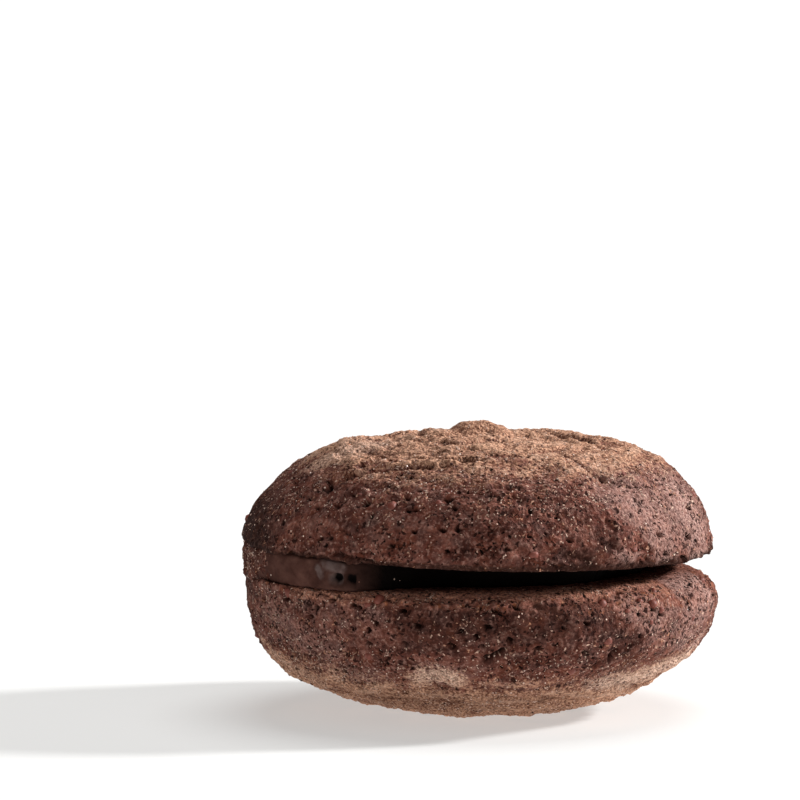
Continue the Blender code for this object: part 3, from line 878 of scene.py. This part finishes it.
# what lies loose on the crust, one piece for each kind; sizes are radii in millimetres
scattered = {
    "sugarGrains": {
        "perSquareMillimetre": 5.6, "anywhere": 0.12, "dustShare": -0.1, "sprinkleShare": 0.75,
        "rimShare": 0.1, "small": 0.06, "large": 0.145, "sink": 0.1, "clumps": 0.85, "seed": 3,
    },
    "crustCrumbs": {
        "perSquareMillimetre": 1.3, "anywhere": 0.4, "dustShare": -0.3, "sprinkleShare": 0.3,
        "rimShare": 0.6, "small": 0.06, "large": 0.22, "sink": 0.35, "clumps": 0.6, "seed": 11,
    },
    "cocoaDust": {
        "perSquareMillimetre": 1.6, "anywhere": 0.02, "dustShare": 0.6, "sprinkleShare": 0.3,
        "rimShare": 0.0, "small": 0.04, "large": 0.1, "sink": 0.3, "clumps": 0.6, "seed": 23,
    },
}


def scatterTree(name, sizes, shape, finish):
    sides = ("upper", "lower", "between")
    tree, add, value = newTree(name, sizes, sides)
    ground = add("GeometryNodeJoinGeometry")
    for side in sides:
        surface = add("GeometryNodeObjectInfo", (value[side],))
        tree.links.new(surface.outputs["Geometry"], ground.inputs[0])
    position = add("GeometryNodeInputPosition")
    place = add("ShaderNodeVectorMath", {0: position, "Scale": 1 / mm}, operation="SCALE")
    share = value["anywhere"]
    for key in ("dust", "sprinkle", "rim"):
        read = add("GeometryNodeInputNamedAttribute", {"Name": key}, data_type="FLOAT")
        share = add("ShaderNodeMath", (read, value[f"{key}Share"], share), operation="MULTIPLY_ADD")
    # in clumps, clear of the floor, and not on the inner faces
    cloud = add("ShaderNodeTexNoise", {"Vector": place, "Scale": 0.9, "Detail": 2.0})
    thin = add("ShaderNodeMath", (1.0, value["clumps"]), operation="SUBTRACT")
    clump = add("ShaderNodeMapRange", (cloud, 0.42, 0.58, thin, 1.0))
    share = add("ShaderNodeMath", (share, clump), operation="MULTIPLY")
    height = add("ShaderNodeSeparateXYZ", (place,))
    clear = add("ShaderNodeMapRange", (height.outputs[2], 0.25, 0.5))
    share = add("ShaderNodeMath", (share, clear), operation="MULTIPLY", use_clamp=True)
    hidden = add("ShaderNodeMapRange", (read, 0.99, 0.9))
    share = add("ShaderNodeMath", (share, hidden), operation="MULTIPLY")
    density = add("ShaderNodeMath", (share, value["perSquareMillimetre"]), operation="MULTIPLY")
    density = add("ShaderNodeMath", (density, 1 / mm ** 2), operation="MULTIPLY")
    points = add("GeometryNodeDistributePointsOnFaces",
                 {"Mesh": ground, "Density": density, "Seed": value["seed"]})

    chance = add("FunctionNodeRandomValue", {2: 0.0, 3: 1.0, "Seed": 1}, data_type="FLOAT").outputs[1]
    chance = add("ShaderNodeMath", (chance, 2.5), operation="POWER")
    size = add("ShaderNodeMapRange", {0: chance, 3: value["small"], 4: value["large"]})
    size = add("ShaderNodeMath", (size, mm), operation="MULTIPLY")
    stretch = add("FunctionNodeRandomValue", {0: (0.65, 0.65, 0.65), 1: (1.2, 1.2, 1.2), "Seed": 2},
                  data_type="FLOAT_VECTOR").outputs[0]
    scale = add("ShaderNodeVectorMath", {0: stretch, "Scale": size}, operation="SCALE")
    placed = sown(add, points, points.outputs["Normal"], size, value["sink"], add(shape), scale)
    return endTree(tree, add, placed, finish)


def scatter(name, shape, finish, surfaces):
    piece = newObject(name, bpy.data.meshes.new(name))
    useTree(piece, scatterTree(name, scattered[name], shape, finish), surfaces)
    applied(piece)
    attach(piece, "root")
    report(f"{name}: {sum(len(face.vertices) - 2 for face in piece.data.polygons)} triangles")


# bits of almond skin in the crust: pixel and width in millimetres of those that the photo shows
almondBits = {
    "shown": [
        ((391, 505), 1.0), ((359, 495), 0.75), ((438, 502), 0.7), ((534, 555), 0.95), ((608, 555), 0.9),
        ((287, 590), 0.9), ((378, 598), 1.0), ((368, 657), 0.95), ((603, 602), 0.9),
        ((609, 641), 0.95), ((654, 590), 0.9), ((654, 602), 0.8), ((693, 618), 0.8), ((572, 672), 0.95),
        ((640, 600), 0.6), ((662, 610), 0.6), ((672, 597), 0.5), ((652, 622), 0.6), ((628, 611), 0.5),
        ((628, 555), 1.1), ((635, 551), 0.9), ((367, 604), 0.7), ((624, 474), 0.7), ((287, 553), 0.8),
    ],
    "elsewhere": 46,  # more of them on the sides that the photo doesn't show
    "turns": (-15.0, 195.0),  # degrees round the cookie that those sides take up
    "heights": (3.0, 22.0),
    "startsAt": 40.0,  # mm off the middle, outside the cookie
    "stopsAt": 16.0,  # and none lie deeper in the slit
    "widths": (0.6, 1.0),
    "sink": 0.65,  # of the radius
    "seed": 5,
}


def almondPlaces():
    places = []
    for pixel, width in almondBits["shown"]:
        point, facing = onSurface(pixel)
        places.append((point, facing, width))
    draw = random.Random(almondBits["seed"])
    while len(places) < len(almondBits["shown"]) + almondBits["elsewhere"]:
        turn = math.radians(draw.uniform(*almondBits["turns"]))
        level = Vector((0.0, 0.0, draw.uniform(*almondBits["heights"]) * mm))
        outside = Vector((math.cos(turn), math.sin(turn), 0.0)) * almondBits["startsAt"] * mm
        biscuits = [solids[name] for name in ("biscuit_upper", "biscuit_lower")]
        hits = [biscuit.ray_cast(level + outside, -outside.normalized()) for biscuit in biscuits]
        deepest = almondBits["stopsAt"] * mm
        hits = [hit for hit in hits if hit[0] is not None and Vector(hit[0][:2]).length > deepest]
        if hits:
            nearest = min(hits, key=lambda hit: hit[3])
            places.append((nearest[0], nearest[1], draw.uniform(*almondBits["widths"])))
    return places


def almondTree(finish):
    tree, add, value = newTree("almondBits", {"sink": almondBits["sink"]})
    ball = add("GeometryNodeMeshIcoSphere", {"Radius": 1.0, "Subdivisions": 2})
    position = add("GeometryNodeInputPosition")
    dents = add("ShaderNodeTexNoise", {"Vector": position, "Scale": 1.1, "Detail": 1.0})
    dents = add("ShaderNodeMapRange", {0: dents, 3: 0.5, 4: 1.5})
    shaped = add("ShaderNodeVectorMath", {0: position, "Scale": dents}, operation="SCALE")
    ball = add("GeometryNodeSetPosition", {"Geometry": ball, "Position": shaped})
    ball = add("GeometryNodeSetShadeSmooth", {"Geometry": ball})
    read = {}
    for name, kind in (("facing", "FLOAT_VECTOR"), ("size", "FLOAT")):
        read[name] = add("GeometryNodeInputNamedAttribute", {"Name": name}, data_type=kind)
    points = add("GeometryNodeMeshToPoints", {"Mesh": value["Geometry"]})
    placed = sown(add, points, read["facing"], read["size"], value["sink"], ball, read["size"])
    return endTree(tree, add, placed, finish)


def makeAlmondBits(finish):
    places = almondPlaces()
    mesh = bpy.data.meshes.new("almondBits")
    mesh.from_pydata([point for point, facing, width in places], [], [])
    facings = [number for point, facing, width in places for number in facing]
    mesh.attributes.new("facing", "FLOAT_VECTOR", "POINT").data.foreach_set("vector", facings)
    sizes = [width / 2 * mm for point, facing, width in places]
    mesh.attributes.new("size", "FLOAT", "POINT").data.foreach_set("value", sizes)
    piece = newObject("almondBits", mesh)
    useTree(piece, almondTree(finish), {})
    applied(piece)
    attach(piece, "root")
    report(f"almondBits: {len(places)} bits")


# azimuth 0 is the right of the picture and 90 behind the cookie; the softness is the light's width in degrees
studio = {
    "floorHalf": 40.0,  # metres, so that no edge of the floor shows
    "backdrop": 0.86,  # brightness of the studio wall
    "ambient": 0.06,  # light that it gives
    "lampsAt": 0.3,  # metres from the cookie
    "lights": {
        "keyLight": {"azimuth": 12.0, "elevation": 27.0, "strength": 4.2, "softness": 8.0},
        "topLight": {"azimuth": 60.0, "elevation": 72.0, "strength": 1.5, "softness": 40.0},
        "frontLight": {"azimuth": 300.0, "elevation": 40.0, "strength": 0.4, "softness": 60.0},
    },
}


def makeStudio():
    shape = bmesh.new()
    bmesh.ops.create_grid(shape, x_segments=8, y_segments=8, size=studio["floorHalf"])
    mesh = bpy.data.meshes.new("tableTop")
    shape.to_mesh(mesh)
    shape.free()
    mesh.materials.append(newMaterial("opalAcrylicLightTable", lightTable))
    newObject("tableTop", mesh)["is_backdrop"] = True

    # the wall looks pale, but the cookie is lit by the lamps and by the floor
    world = bpy.data.worlds.new("studio")
    bpy.context.scene.world = world
    world.use_nodes = True
    world.node_tree.nodes.clear()
    add = adderFor(world.node_tree)
    seen = add("ShaderNodeLightPath").outputs["Is Camera Ray"]
    strength = add("ShaderNodeMapRange", {0: seen, 3: studio["ambient"], 4: studio["backdrop"]})
    wall = add("ShaderNodeBackground", {"Strength": strength, "Color": (1.0, 1.0, 1.0, 1.0)})
    add("ShaderNodeOutputWorld", (wall,))

    for name, lamp in studio["lights"].items():
        light = bpy.data.lights.new(name, "SUN")
        light.energy = lamp["strength"]
        light.angle = math.radians(lamp["softness"])
        placed = newObject(name, light)
        turn = math.radians(lamp["azimuth"])
        rise = math.radians(lamp["elevation"])
        towards = Vector((math.cos(turn) * math.cos(rise), math.sin(turn) * math.cos(rise), math.sin(rise)))
        placed.rotation_euler = towards.to_track_quat("Z", "Y").to_euler()
        placed.location = towards * studio["lampsAt"]

    lens = bpy.data.cameras.new("photoCamera")
    lens.sensor_width = picture["sensor"]
    lens.lens = picture["sensor"] * picture["distance"] / picture["width"]
    lens.clip_start = 0.01
    lens.clip_end = 200.0
    camera = newObject("photoCamera", lens)
    camera.location = eye
    camera.rotation_euler = ahead.to_track_quat("-Z", "Y").to_euler()
    bpy.context.scene.camera = camera
    bpy.context.scene.view_settings.view_transform = "Standard"


makeStudio()
markTrails = trailObject("markTrails", marks, ("rise",))
patchTrails = trailObject("patchTrails", patches, patchKeys)
sugarTrails = trailObject("sugarTrails", sprinklings, ("sugar",))
holeTrails = trailObject("holeTrails", holes, holeKeys)
report("marks placed")
crustFinish = newMaterial("bakedCocoaAlmondCrust", bakedCrust)
relief = reliefTree(crustFinish)
shared = {"marks": markTrails, "patches": patchTrails, "sprinklings": sugarTrails}
upper = bakedBiscuit("biscuit_upper", "upperBiscuit", relief, shared)
turnedOver = {"dustWay": -1.0, "dustEdge": 4.4, "dustBow": 0.0045, "rimDark": 0.0, "insideDark": 0.0}
lower = bakedBiscuit("biscuit_lower", "lowerBiscuit", relief, {**shared, **turnedOver})
filling = makeFilling(newMaterial("chocolateFillingPaste", chocolatePaste), crustFinish, holeTrails)
surfaces = {"upper": upper, "lower": lower, "between": filling}
for name, shape, finishName, finish in (
    ("sugarGrains", "GeometryNodeMeshCube", "casterSugarCrystal", sugar),
    ("crustCrumbs", "GeometryNodeMeshIcoSphere", "cocoaAlmondCrumb", crumb),
    ("cocoaDust", "GeometryNodeMeshIcoSphere", "cocoaSugarDust", dustGrains),
):
    scatter(name, shape, newMaterial(finishName, finish), surfaces)
makeAlmondBits(newMaterial("roastedAlmondSkin", almondSkin))
for helper in (markTrails, patchTrails, sugarTrails, holeTrails):
    bpy.data.objects.remove(helper)
report("cookie dressed")

for name, box in (("cad", cadBox), ("visual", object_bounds())):
    [list(corner) for corner in box]
